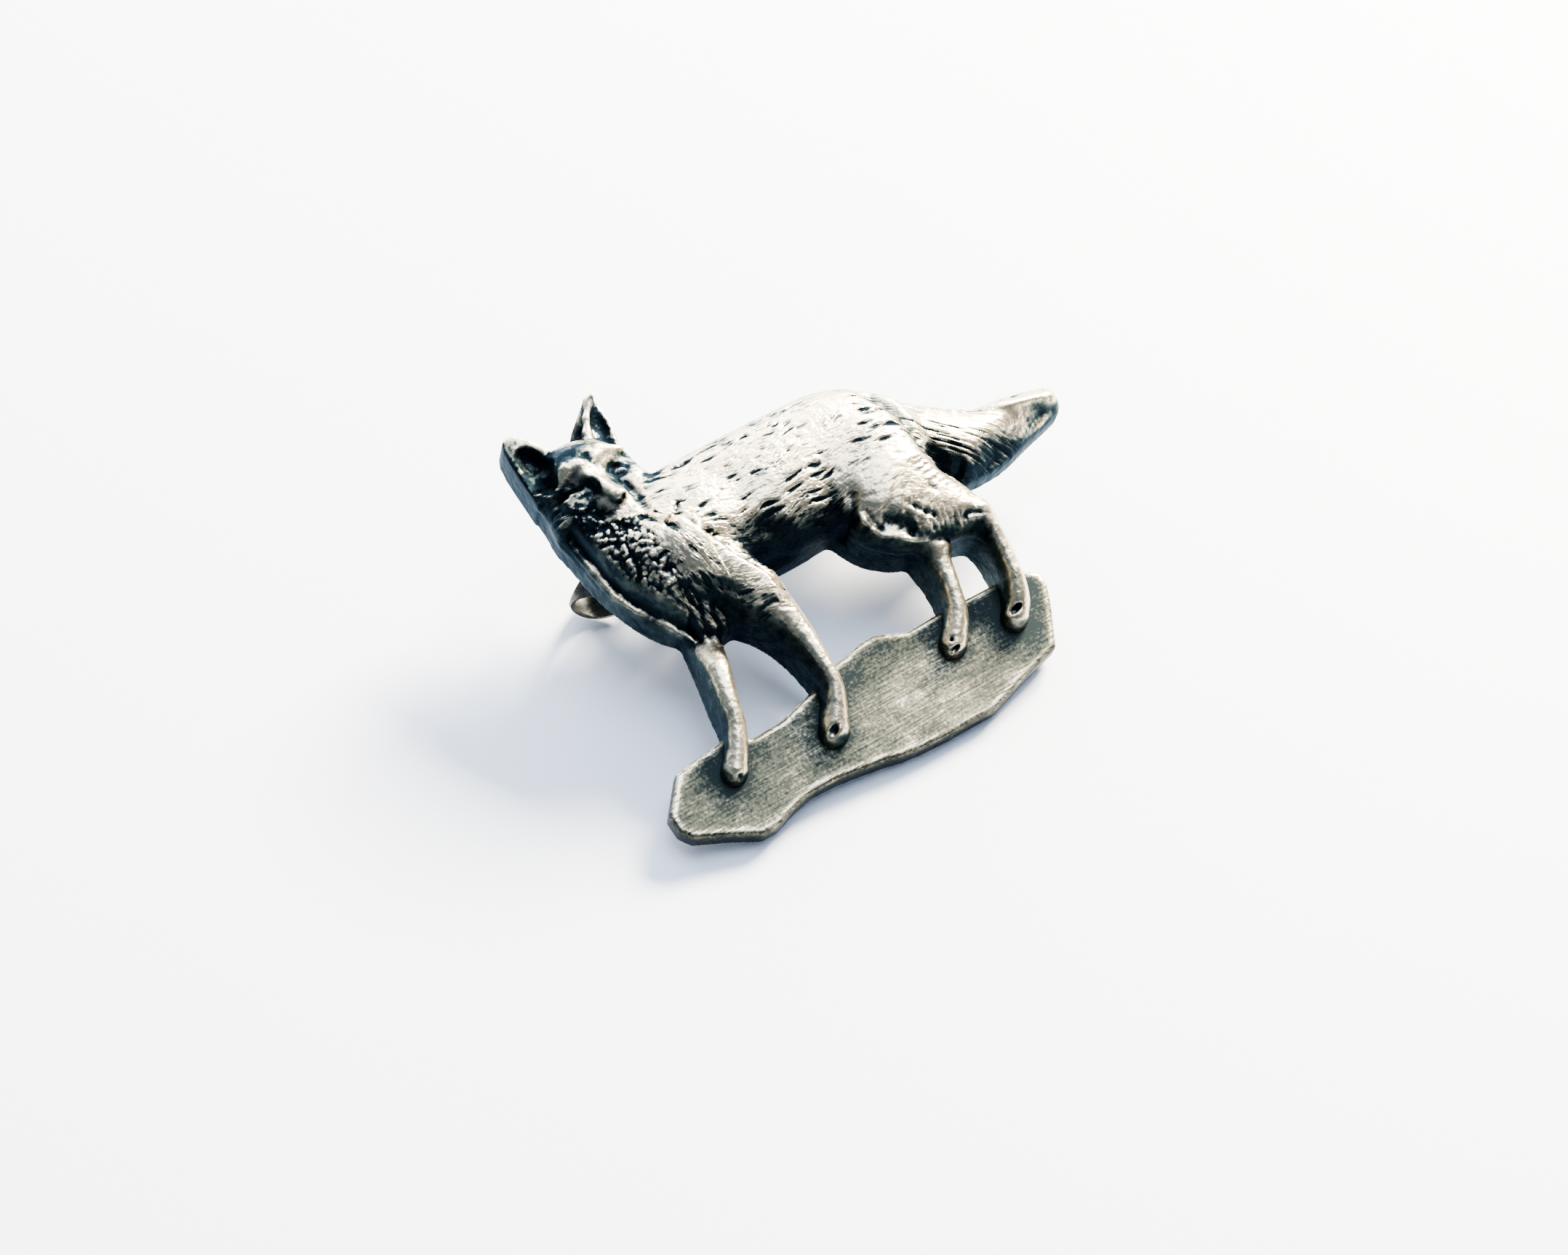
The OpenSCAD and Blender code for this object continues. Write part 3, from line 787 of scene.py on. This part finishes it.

# chased strokes: the large ones of the coat, smaller ones between them and a painted shadow round the large
large = dashes(tree, flow, length, width, seed, 0.2, 0.34)
small = dashes(tree, flow, length * 0.6, width * 0.6, seed + 11.3, 0.2, 0.36)
specks = dashes(tree, flow, *castFinish["specks"], seed + 23.1, 0.26, 0.44)
strokeShadow = dashes(tree, flow, length, width, seed, 0.1, 0.62)
strokeShadow = node(tree, "Math", (strokeShadow, 0.35), operation="MULTIPLY")[0]
thin = node(tree, "TexNoise", {"Vector": place, "Scale": 1 / (castFinish["thinPlaces"] * mm), "Detail": 1.0})
thin = node(tree, "MapRange", (thin["Fac"], 0.3, 0.46))[0]
chased = node(tree, "Math", (small, specks), operation="MAXIMUM")[0]
chased = node(tree, "Math", (chased, thin), operation="MULTIPLY")[0]
chased = node(tree, "Math", (chased, large), operation="MAXIMUM")[0]
chased = node(tree, "Math", (chased, 0.55, strokeShadow), operation="MULTIPLY_ADD")[0]
chased = node(tree, "Math", (chased, fur), operation="MULTIPLY")[0]

# mottling: fine grain, dabs that lie along the hairs where there is fur, and islands of oxide
fine, hammered, islands = [
    node(tree, "TexNoise", {"Vector": place, "Scale": 1 / (castFinish[name] * mm), "Detail": detail,
                            "Roughness": roughness})["Fac"]
    for name, detail, roughness in (("grain", 3.0, 0.6), ("hammerMarks", 2.0, 0.5), ("islands", 5.0, 0.65))]
strands = drawnOut(tree, flow, castFinish["strands"], 3.0, 0.55)
slivers, dabs, islands = [node(tree, "MapRange", (value, low, high), interpolation_type="SMOOTHSTEP")[0]
                          for value, low, high in ((strands, 0.43, 0.56), (hammered, 0.42, 0.56),
                                                   (islands, 0.43, 0.53))]
slivers = node(tree, "Math", (slivers, dabs), operation="SUBTRACT")[0]
dabs = node(tree, "Math", (slivers, fur, dabs), operation="MULTIPLY_ADD")[0]
mottled = addUp(tree, -0.56, ((fine, 0.44), (dabs, 0.34), (islands, 0.22)))

# the wear and painted shade of each place, mottled most where it faces the light, less in the strokes and
# the ruff's pits
patchy = node(tree, "Math", (front, 0.8, 0.2), operation="MULTIPLY_ADD")[0]
pits = node(tree, "MapRange", (curls(tree, flow, coat["Tuft Size"]), 0.4, 0.62),
            interpolation_type="SMOOTHSTEP")[0]
pits = node(tree, "Math", (pits, tuft), operation="MULTIPLY")[0]
wearAndShade = addUp(tree, wearAndShade, ((mottled, patchy), (chased, -0.72), (pits, -0.5)))

hairs = drawnOut(tree, flow, castFinish["hairs"])
hairs = node(tree, "Math", (hairs, strands), operation="ADD")[0]
hairy = node(tree, "Math", (fur, 0.8), operation="MULTIPLY")[0]
height = addUp(tree, fine, ((hairs, hairy), (chased, -2.0), (hammered, 4.0)))
finishMetal(tree, shader, castFinish, wearAndShade, height)
shader.inputs["Specular Tint"].default_value = colour(castFinish["edgeTint"])

growCoat(foxPiece, coatTree(castPewter), coat)
print("coat grown")


def wearAndShadeOf(piece, extra, rounds, gains, base, facing, reach):
    # how rubbed and how lit each corner is: high and convex places are bright, hollows stay dark with oxide,
    # and walls turned from the light are darker as painted shade.
    # rounds of smoothing, what the curve left by each adds, and how the facing to the light counts
    count = len(piece.data.vertices)
    p = cornersOf(piece) / mm
    n = cornersOf(piece, "normal")
    ends = np.empty(len(piece.data.edges) * 2, np.int64)
    piece.data.edges.foreach_get("vertices", ends)
    degree = np.bincount(ends, minlength=count)[:, None]
    a, b = ends.reshape(-1, 2).T
    flat = p
    curves = []
    done = 0
    for wanted in rounds:
        for step in range(wanted - done):
            sums = [np.bincount(a, x[b], count) + np.bincount(b, x[a], count) for x in flat.T]
            flat = np.stack(sums, 1) / degree
        done = wanted
        curves.append(((p - flat) * n).sum(1))
    # painted light and rub together: places turned to the front, a little up and to the right, are lighter,
    # and places turned away are darker as painted shade
    across, up, out = n[:, 0], n[:, 1] * tiltCos + n[:, 2] * tiltSin, n[:, 2] * tiltCos - n[:, 1] * tiltSin
    litAndRubbed = ramp(across * 0.24 + up * 0.28 + out * 0.93, *reach)
    value = base + facing * litAndRubbed
    for curve, gain in zip(curves, gains):
        value = value + np.clip(curve * gain, -0.4, 0.25) * (0.15 + 0.85 * litAndRubbed)
    value = np.clip(value + extra * (0.3 + 0.7 * litAndRubbed), 0, 1)
    addValues(piece, "wornAndShaded", value)
    # front: how far each place faces the light, the painted light and the rub together
    addValues(piece, "front", litAndRubbed)


# where the colour is darkened (below 0) or lightened: partly oxide left and rubbed away, partly painted
# shade on places turned from the light, such as belly and cheek, and painted highlight on places turned to
# it, such as shoulder, flank, haunch and legs: u, v, radius along u, radius along v, amount
patches = {
    "ears": [(6.0, 31.6, 0.9, 3.4, -1.0), (7.2, 33.2, 0.9, 0.6, -0.4), (8.8, 30.3, 1.0, 1.3, -0.5),
             (6.6, 29.0, 1.0, 1.0, -0.3), (6.4, 32.0, 1.3, 1.3, -0.35), (7.6, 31.4, 1.1, 1.0, -0.25),
             (13.6, 31.3, 0.9, 2.2, -0.75), (11.2, 32.0, 0.9, 1.4, -0.4), (12.9, 29.8, 0.7, 1.2, -0.35)],
    "crown": [(9.6, 30.0, 3.0, 0.8, -0.5), (8.4, 29.4, 1.6, 0.6, -0.25), (10.2, 28.9, 0.4, 0.8, -0.35),
              (8.9, 29.3, 1.4, 0.5, -0.3), (13.0, 29.0, 1.0, 0.5, -0.3), (11.0, 29.0, 1.6, 1.0, -0.2),
              (10.2, 28.5, 0.3, 0.5, -0.3), (8.5, 28.5, 0.9, 0.3, 0.3)],
    "eyes": [(7.9, 26.6, 1.5, 1.0, -0.8), (11.9, 27.35, 1.0, 0.7, -0.7), (13.2, 26.6, 1.0, 1.2, -0.3)],
    "muzzle": [(9.7, 26.4, 0.5, 1.5, 0.35), (10.7, 24.3, 0.5, 0.9, 0.3), (11.3, 25.9, 0.6, 0.9, -0.35),
               (11.4, 26.3, 1.5, 0.8, -0.2), (12.7, 25.2, 0.9, 1.3, -0.25), (9.0, 23.2, 0.9, 0.6, -0.4),
               (10.2, 22.8, 1.6, 0.4, -0.3)],
    "cheek": [(7.4, 24.4, 1.3, 1.6, -0.5), (7.4, 24.6, 1.4, 0.9, -0.5)],
    "rim": [(6.9, 20.4, 0.35, 2.4, 0.25), (7.5, 18.9, 0.4, 1.2, 0.3), (9.1, 16.1, 0.4, 1.6, 0.35)],
    "breast": [(8.9, 19.2, 0.8, 2.0, 0.2), (8.6, 21.2, 1.0, 2.6, -0.25), (12.3, 14.9, 0.9, 0.9, -0.3),
               (10.9, 14.7, 1.7, 1.3, -0.45)],
    "shoulder": [(12.3, 19.8, 1.8, 2.2, 0.5), (13.6, 17.6, 1.6, 2.0, 0.5), (13.0, 18.8, 2.4, 2.4, 0.3),
                 (15.0, 15.2, 0.9, 1.8, 0.4), (15.2, 13.4, 1.0, 2.0, 0.2), (16.3, 17.6, 1.1, 1.5, -0.3)],
    "flankAndBelly": [(20.0, 23.0, 6.0, 2.4, 0.4), (18.0, 16.9, 3.5, 1.5, -0.55),
                      (21.0, 17.8, 4.5, 1.2, -0.2), (19.5, 16.2, 3.0, 1.0, -0.3)],
    "haunch": [(27.6, 20.6, 3.2, 4.0, 0.25), (26.2, 17.8, 2.2, 2.2, 0.5), (27.8, 18.4, 1.8, 1.6, 0.15),
               (25.2, 16.9, 1.4, 1.8, 0.4), (23.3, 16.2, 1.0, 1.2, -0.35)],
    "thigh": [(24.8, 15.2, 0.8, 0.9, 0.4), (27.6, 15.8, 1.5, 0.8, 0.3), (29.2, 14.9, 2.4, 1.2, 0.35),
              (29.6, 13.6, 1.8, 1.2, -0.25), (32.2, 11.2, 0.9, 0.9, -0.3)],
    "tail": [(32.9, 16.2, 1.6, 1.7, -0.55), (36.0, 19.0, 3.0, 1.6, 0.15), (38.6, 19.4, 1.7, 0.5, -0.4),
             (37.5, 16.2, 2.6, 0.8, -0.3), (40.8, 18.3, 2.0, 0.6, 0.3)],
    "legs": [(16.4, 8.5, 0.7, 5.5, 0.5), (9.3, 9.0, 1.3, 4.5, 0.5), (31.8, 7.2, 1.0, 2.6, 0.5),
             (27.0, 7.4, 1.2, 2.8, 0.5)],
    "paws": [(25.0, 4.8, 0.9, 0.8, 0.6), (30.6, 4.6, 0.9, 0.8, 0.6), (13.7, 3.3, 0.8, 0.7, 0.6),
             (6.4, 3.9, 0.8, 0.7, 0.6)],
}
u, v, w = toBrooch(cornersOf(foxPiece)).T
# oxide in the hollows, plus the patches: oxide and rub, and painted shade and painted highlight
left = 0.6 * np.minimum(valuesOf(foxPiece, "openness") - 0.82, 0)
for region in patches.values():
    for pu, pv, ru, rv, amount in region:
        left += amount * np.exp(-((u - pu) / ru) ** 2 - ((v - pv) / rv) ** 2)
wearAndShadeOf(foxPiece, left, rounds=(2, 10, 60), gains=(6.0, 2.5, 0.8), base=0.12, facing=0.8, reach=(0.2, 0.86))
print("fox worn")

# the plate of ground, sawn and filed from rolled sheet
plate = {
    "thickness": 1.5,
    "edge": 0.34,  # radius of the filed edge
    "step": 0.15,
    "outline": [(1.8, 4.6), (1.8, 3.3), (2.4, 2.4), (4.6, 1.4), (6.7, 0.3), (7.9, 0.3), (9.8, 0.9),
                (11.5, 1.2), (13.6, 1.1), (17.0, 0.6), (18.2, 0.3), (20.0, 0.1), (22.0, 0), (26.0, 0),
                (29.0, 0.9), (32.5, 1.8), (34.0, 4.4), (34.8, 6.0), (34.9, 7.1), (33.7, 7.9),
                (30.2, 8.0), (26.6, 8.1), (23.8, 8.0), (21.7, 8.9), (20.5, 8.9), (18.0, 8.4),
                (15.0, 7.4), (12.3, 6.7), (9.9, 6.6), (8.6, 7.6), (3.9, 7.0)],
    # the plate is darkened near the fox: painted shade of the fox, together with oxide the wheel couldn't
    # reach
    "shadeFromFox": 0.7,  # how far the fox keeps the wheel off
    "tones": [(0.1, "#161D1D"), (0.5, "#45463A"), (0.88, "#8E8367"), (1.0, "#E2D6B4")],
    "rough": (0.2, 0.8, 0.5, 0.3),
    "bump": (0.4, 0.03),
    "scratches": (2.6, 0.11, 0.11),
    "clouds": 3.0,
    "pores": 0.22,
}
plateClay = startClay((1.2, -0.6, -0.5), (35.6, 9.6, 2.2), plate["step"])
slab(plate["outline"], (plate["thickness"], 0, 0), plate["edge"], 0.05)
flatBack()
places, faces = skin(plateClay)
platePiece = meshPiece("groundPlate", toRow(places), faces)
addValues(platePiece, "shadeAndOxideNearFox", np.exp(-np.maximum(fieldAt(foxClay, places), 0) / plate["shadeFromFox"]))
flattenBack(platePiece)

# pewter sheet, brushed along the plate: fine straight scratches, dark where the wheel couldn't reach, and
# darker near the fox and on faces turned from the light as painted shade
brushedSheet, tree, shader = startMaterial("brushedPewterSheet")
place = node(tree, "TexCoord")["Object"]
wornAndShaded, shadeAndOxideNearFox = [node(tree, "Attribute", attribute_name=name)["Fac"] for name in ("wornAndShaded", "shadeAndOxideNearFox")]
lines = drawnOut(tree, place, plate["scratches"])
clouds = node(tree, "TexNoise", {"Vector": place, "Scale": 1 / (plate["clouds"] * mm), "Detail": 5.0,
                                 "Roughness": 0.65})["Fac"]
pores = node(tree, "TexNoise", {"Vector": place, "Scale": 1 / (plate["pores"] * mm)})["Fac"]
deep = node(tree, "Math", (wornAndShaded, 1.6, 0.2), operation="MULTIPLY_ADD")[0]
scratched = node(tree, "Math", (lines, 0.5), operation="SUBTRACT")[0]
wearAndShade = node(tree, "Math", (wornAndShaded, 1.16), operation="SUBTRACT")[0]
# the last term darkens the plate near the fox: painted shade with oxide
wearAndShade = addUp(tree, wearAndShade, ((scratched, deep), (clouds, 1.2), (pores, 1.1), (shadeAndOxideNearFox, -0.4)))
finishMetal(tree, shader, plate, wearAndShade, lines)
platePiece.data.materials.append(brushedSheet)

# rubbed most in the middle and along the rim, least at the right end and the upper edge
u, v, w = toBrooch(cornersOf(platePiece)).T
rubbed = 0.22 * np.exp(-((u - 21.5) / 6.5) ** 4 - ((v - 3.2) / 3.4) ** 4)
rubbed -= 0.14 * ramp(u, 28, 31) + 0.12 * ramp(v, 4.5, 7.5)
rubbed += 0.7 * np.exp(-((insideOf(plate["outline"], u, v) + 0.15) / 0.2) ** 2) * ramp(w, 1.0, 1.3)
wearAndShadeOf(platePiece, rubbed, rounds=(2, 10), gains=(30.0, 8.0), base=0.06, facing=0.32, reach=(0.4, 0.9))
print("plate made")

for piece in (foxPiece, platePiece):
    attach(piece, "root")
    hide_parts("fox_and_ground")

# tack posts and butterfly clutches on the back
fitting = {
    "postLeft": 12.4,  # u of the left post's axis, mm
    "postRight": 27.3,
    "postUp": 22.9,  # v of both
    "seat": 0.65,  # from the back to the clutch's base
    "padRadius": 2.0,
    "padHeight": 0.5,
    "postRadius": 0.55,
    "postLength": 5.5,
    "grooveAt": (3.6, 4.1),  # where the clutch bites on the post
    "grooveDepth": 0.1,
    "baseRadius": 4.5,
    "bore": 0.62,
    "hubRadius": 1.7,
    "hubHeight": 1.9,
    "sheet": 0.36,
    "loopRadius": 2.0,
    "loopOut": 3.9,  # from the post to the middle of a wing's loop
    "height": 5.9,
    "wingWidth": 4.0,
    "span": 11.8,
    "turn": 4,  # degrees, each clutch on its post
}


def behind(points, u, turn):
    # from a fitting's own x, y and depth behind the back, in mm, to metres on the surface
    p = np.asarray(points, float)
    ct, st = math.cos(math.radians(turn)), math.sin(math.radians(turn))
    return toRow(np.stack([u + p[:, 0] * ct + p[:, 1] * st, fitting["postUp"] + p[:, 1] * ct - p[:, 0] * st,
                           -p[:, 2]], 1))


def tube(start, end, count):
    # the faces between rings of so many corners
    return [(a + j, a + (j + 1) % count, a + count + (j + 1) % count, a + count + j)
            for a in range(start, end - count, count) for j in range(count)]


def turned(profile, count):
    # a profile of radius and depth spun round the post's axis
    angles = np.arange(count) * 2 * math.pi / count
    verts = [(r * math.cos(a), r * math.sin(a), d) for r, d in profile for a in angles]
    return verts, tube(0, len(verts), count)


def outwardPiece(name, verts, faces, u, turn=0):
    piece = meshPiece(name, behind(verts, u, turn), faces)
    bm = bmesh.new()
    bm.from_mesh(piece.data)
    bmesh.ops.recalc_face_normals(bm, faces=bm.faces)
    for e in bm.edges:
        e.smooth = len(e.link_faces) == 2 and e.calc_face_angle() < math.radians(38)
    bm.to_mesh(piece.data)
    bm.free()
    return piece


def postPiece(name, u):
    # a drawn pin on a soldered pad, ground to a blunt point, with the groove that the clutch bites on
    f = fitting
    r, pad, seat, end = f["postRadius"], f["padRadius"], f["padHeight"], f["postLength"]
    top, foot = f["grooveAt"]
    neck = r - f["grooveDepth"]
    profile = [(pad - 0.12, 0.0), (pad, 0.06), (pad, seat - 0.14), (pad - 0.12, seat),
               (r + 0.35, seat + 0.02), (r + 0.1, seat + 0.1), (r, seat + 0.3), (r, top),
               (neck, top + 0.12), (neck, foot - 0.12), (r, foot), (r, end - 0.55),
               (r - 0.2, end - 0.2), (0.16, end)]
    count = 48
    verts, faces = turned(profile, count)
    last = len(verts) - count
    faces += [tuple(range(count))[::-1], tuple(range(last, last + count))]
    return outwardPiece(name, verts, faces, u)


def clutchPiece(name, u):
    f = fitting
    s, seat, rb, hub, bore = f["sheet"], f["seat"], f["baseRadius"], f["hubRadius"], f["bore"]
    top = f["hubHeight"]
    # pressed base: a flat dish with a turned rim, a ring pressed into it and a hub round the hole
    profile = [(bore, 0.0), (1.9, 0.0), (2.1, 0.1), (2.5, 0.1), (2.7, 0.0), (rb - 0.3, 0.0),
               (rb - 0.08, 0.08), (rb, 0.3), (rb, 0.78), (rb - 0.12, 0.9), (rb - s + 0.1, 0.86),
               (rb - s, 0.72), (rb - s - 0.05, s), (2.9, s), (2.6, s + 0.1), (2.2, s + 0.1), (hub + 0.2, s),
               (hub, s + 0.25), (hub, top - 0.2), (hub - 0.2, top), (bore + 0.15, top),
               (bore, top - 0.15), (bore, 0.0)]
    verts, faces = turned([(r, d + seat) for r, d in profile], 64)
    # wings: a strip of sheet bent up from the hub and rolled into a loop, its outline two arcs
    lens = ((f["span"] / 2) ** 2 + (f["wingWidth"] / 2) ** 2) / f["wingWidth"]
    middle = f["height"] - f["loopRadius"]
    bend = f["loopRadius"] - s / 2
    path = [(0.95, 1.4), (1.3, 2.0), (1.75, 2.9)]
    path += [(f["loopOut"] + bend * math.cos(a), middle + bend * math.sin(a))
             for a in np.radians(np.linspace(-150, 175, 40))]
    path = np.array(path)
    along = np.gradient(path, axis=0)
    along /= np.linalg.norm(along, axis=1, keepdims=True)
    out = np.stack([along[:, 1], -along[:, 0]], 1)
    across = (-1, -0.5, 0, 0.5, 1)
    ring = 2 * len(across)
    for side in (1, -1):
        start = len(verts)
        for q, n in zip(path, out):
            half = max(math.sqrt(max(lens ** 2 - q[0] ** 2, 0)) - lens + f["wingWidth"] / 2, 0.05) - 0.02
            for face, shares in ((1, across), (-1, across[::-1])):
                x, d = q + face * n * s / 2
                verts += [(side * x, side * share * half, d + seat) for share in shares]
        faces += tube(start, len(verts), ring)
        faces += [tuple(range(start, start + ring)), tuple(range(len(verts) - ring, len(verts)))[::-1]]
    return outwardPiece(name, verts, faces, u, f["turn"])


# steel sheet, pressed and bent: grey with a soft sheen, brown-black oxide in the folds, fine rolling lines
steelFinish = {
    "tones": [(0.1, "#151919"), (0.45, "#4E4F47"), (0.9, "#A19B8A")],
    "rough": (0.1, 0.8, 0.5, 0.28),
    "bump": (0.4, 0.03),
    "rolling": (3.0, 0.12, 0.12),
    "spots": 1.1,
}
steel, tree, shader = startMaterial("pressedSteelSheet")
place = node(tree, "TexCoord")["Object"]
lines = drawnOut(tree, place, steelFinish["rolling"])
spots = node(tree, "TexNoise", {"Vector": place, "Scale": 1 / (steelFinish["spots"] * mm), "Detail": 5.0,
                                "Roughness": 0.65})["Fac"]
wornAndShaded = node(tree, "Attribute", attribute_name="wornAndShaded")["Fac"]
wearAndShade = node(tree, "Math", (wornAndShaded, 0.55), operation="SUBTRACT")[0]
wearAndShade = addUp(tree, wearAndShade, ((lines, 0.3), (spots, 0.8)))
finishMetal(tree, shader, steelFinish, wearAndShade, addUp(tree, lines, ((spots, 0.6),)))

for side, u in (("left", fitting["postLeft"]), ("right", fitting["postRight"])):
    for kind, piece in (("post", postPiece(side + "Post", u)), ("clutch", clutchPiece(side + "Clutch", u))):
        piece.data.materials.append(steel)
        wearAndShadeOf(piece, 0, rounds=(2, 8), gains=(5.0, 2.0), base=0.12, facing=0.1, reach=(-1, 1))
        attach(piece, "root")
        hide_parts(side + "_" + kind)
print("posts and clutches made")
